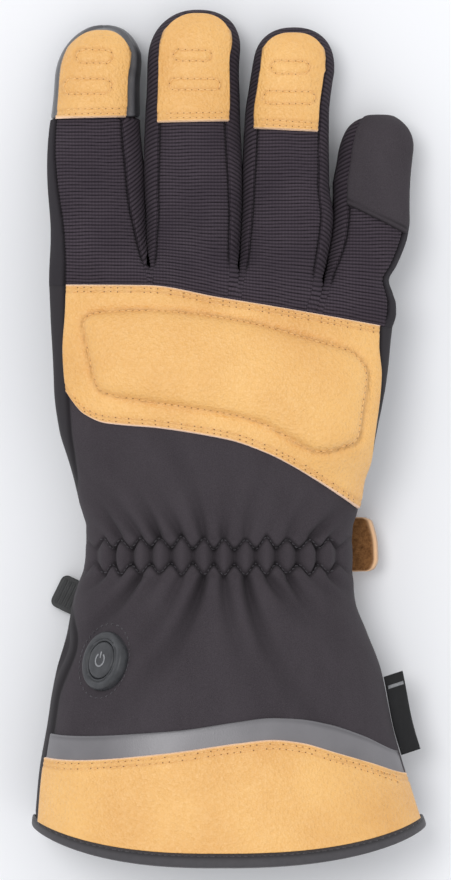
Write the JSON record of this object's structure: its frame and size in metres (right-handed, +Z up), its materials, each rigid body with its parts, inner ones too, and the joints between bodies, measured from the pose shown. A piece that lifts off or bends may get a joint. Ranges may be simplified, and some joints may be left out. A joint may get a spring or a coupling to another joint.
{
  "type": "heated gauntlet glove",
  "caption": "Right-hand heated gauntlet glove lying on its palm, with rib-knit fingers, leather knuckle panel and caps, gathered wrist, switch and flared cuff.",
  "frame": {"origin": "middle of the underside, on the surface that the glove lies on", "axes": "+Y along the fingers, +X towards the little finger, +Z up out of the back of the hand"},
  "size_m": [0.1386, 0.3026, 0.0612],
  "materials": {
    "softshell": "matt woven softshell",
    "rib_knit": "ribbed stretch knit",
    "dark_leather": "soft dark leather with a low sheen",
    "tan_leather": "smooth tan leather with fine grain",
    "suede": "brown suede side with a light cut edge",
    "reflective_tape": "grey reflective tape",
    "binding_tape": "grey woven binding",
    "woven_label": "black woven label",
    "rubber": "matt moulded rubber",
    "plastic": "black moulded plastic",
    "webbing": "black woven webbing"
  },
  "bodies": {
    "root": {"glove_body": "softshell", "index_finger": "rib_knit", "middle_finger": "rib_knit", "ring_finger": "rib_knit", "little_finger": "rib_knit", "thumb": "dark_leather", "index_tip_cap": "tan_leather", "middle_tip_cap": "tan_leather", "ring_tip_cap": "tan_leather", "little_tip_cap": "softshell", "index_touch_cap": "dark_leather", "knuckle_panel": "tan_leather", "reflective_strip": "reflective_tape", "cuff_leather_panel": "tan_leather", "palm_reflective_strip": "reflective_tape", "hem_binding": "binding_tape", "wrist_strap": "suede", "side_label": "woven_label", "button_housing": "rubber", "button_cap": "rubber", "side_clip": "plastic", "clip_loop": "webbing"}
  },
  "joints": []
}
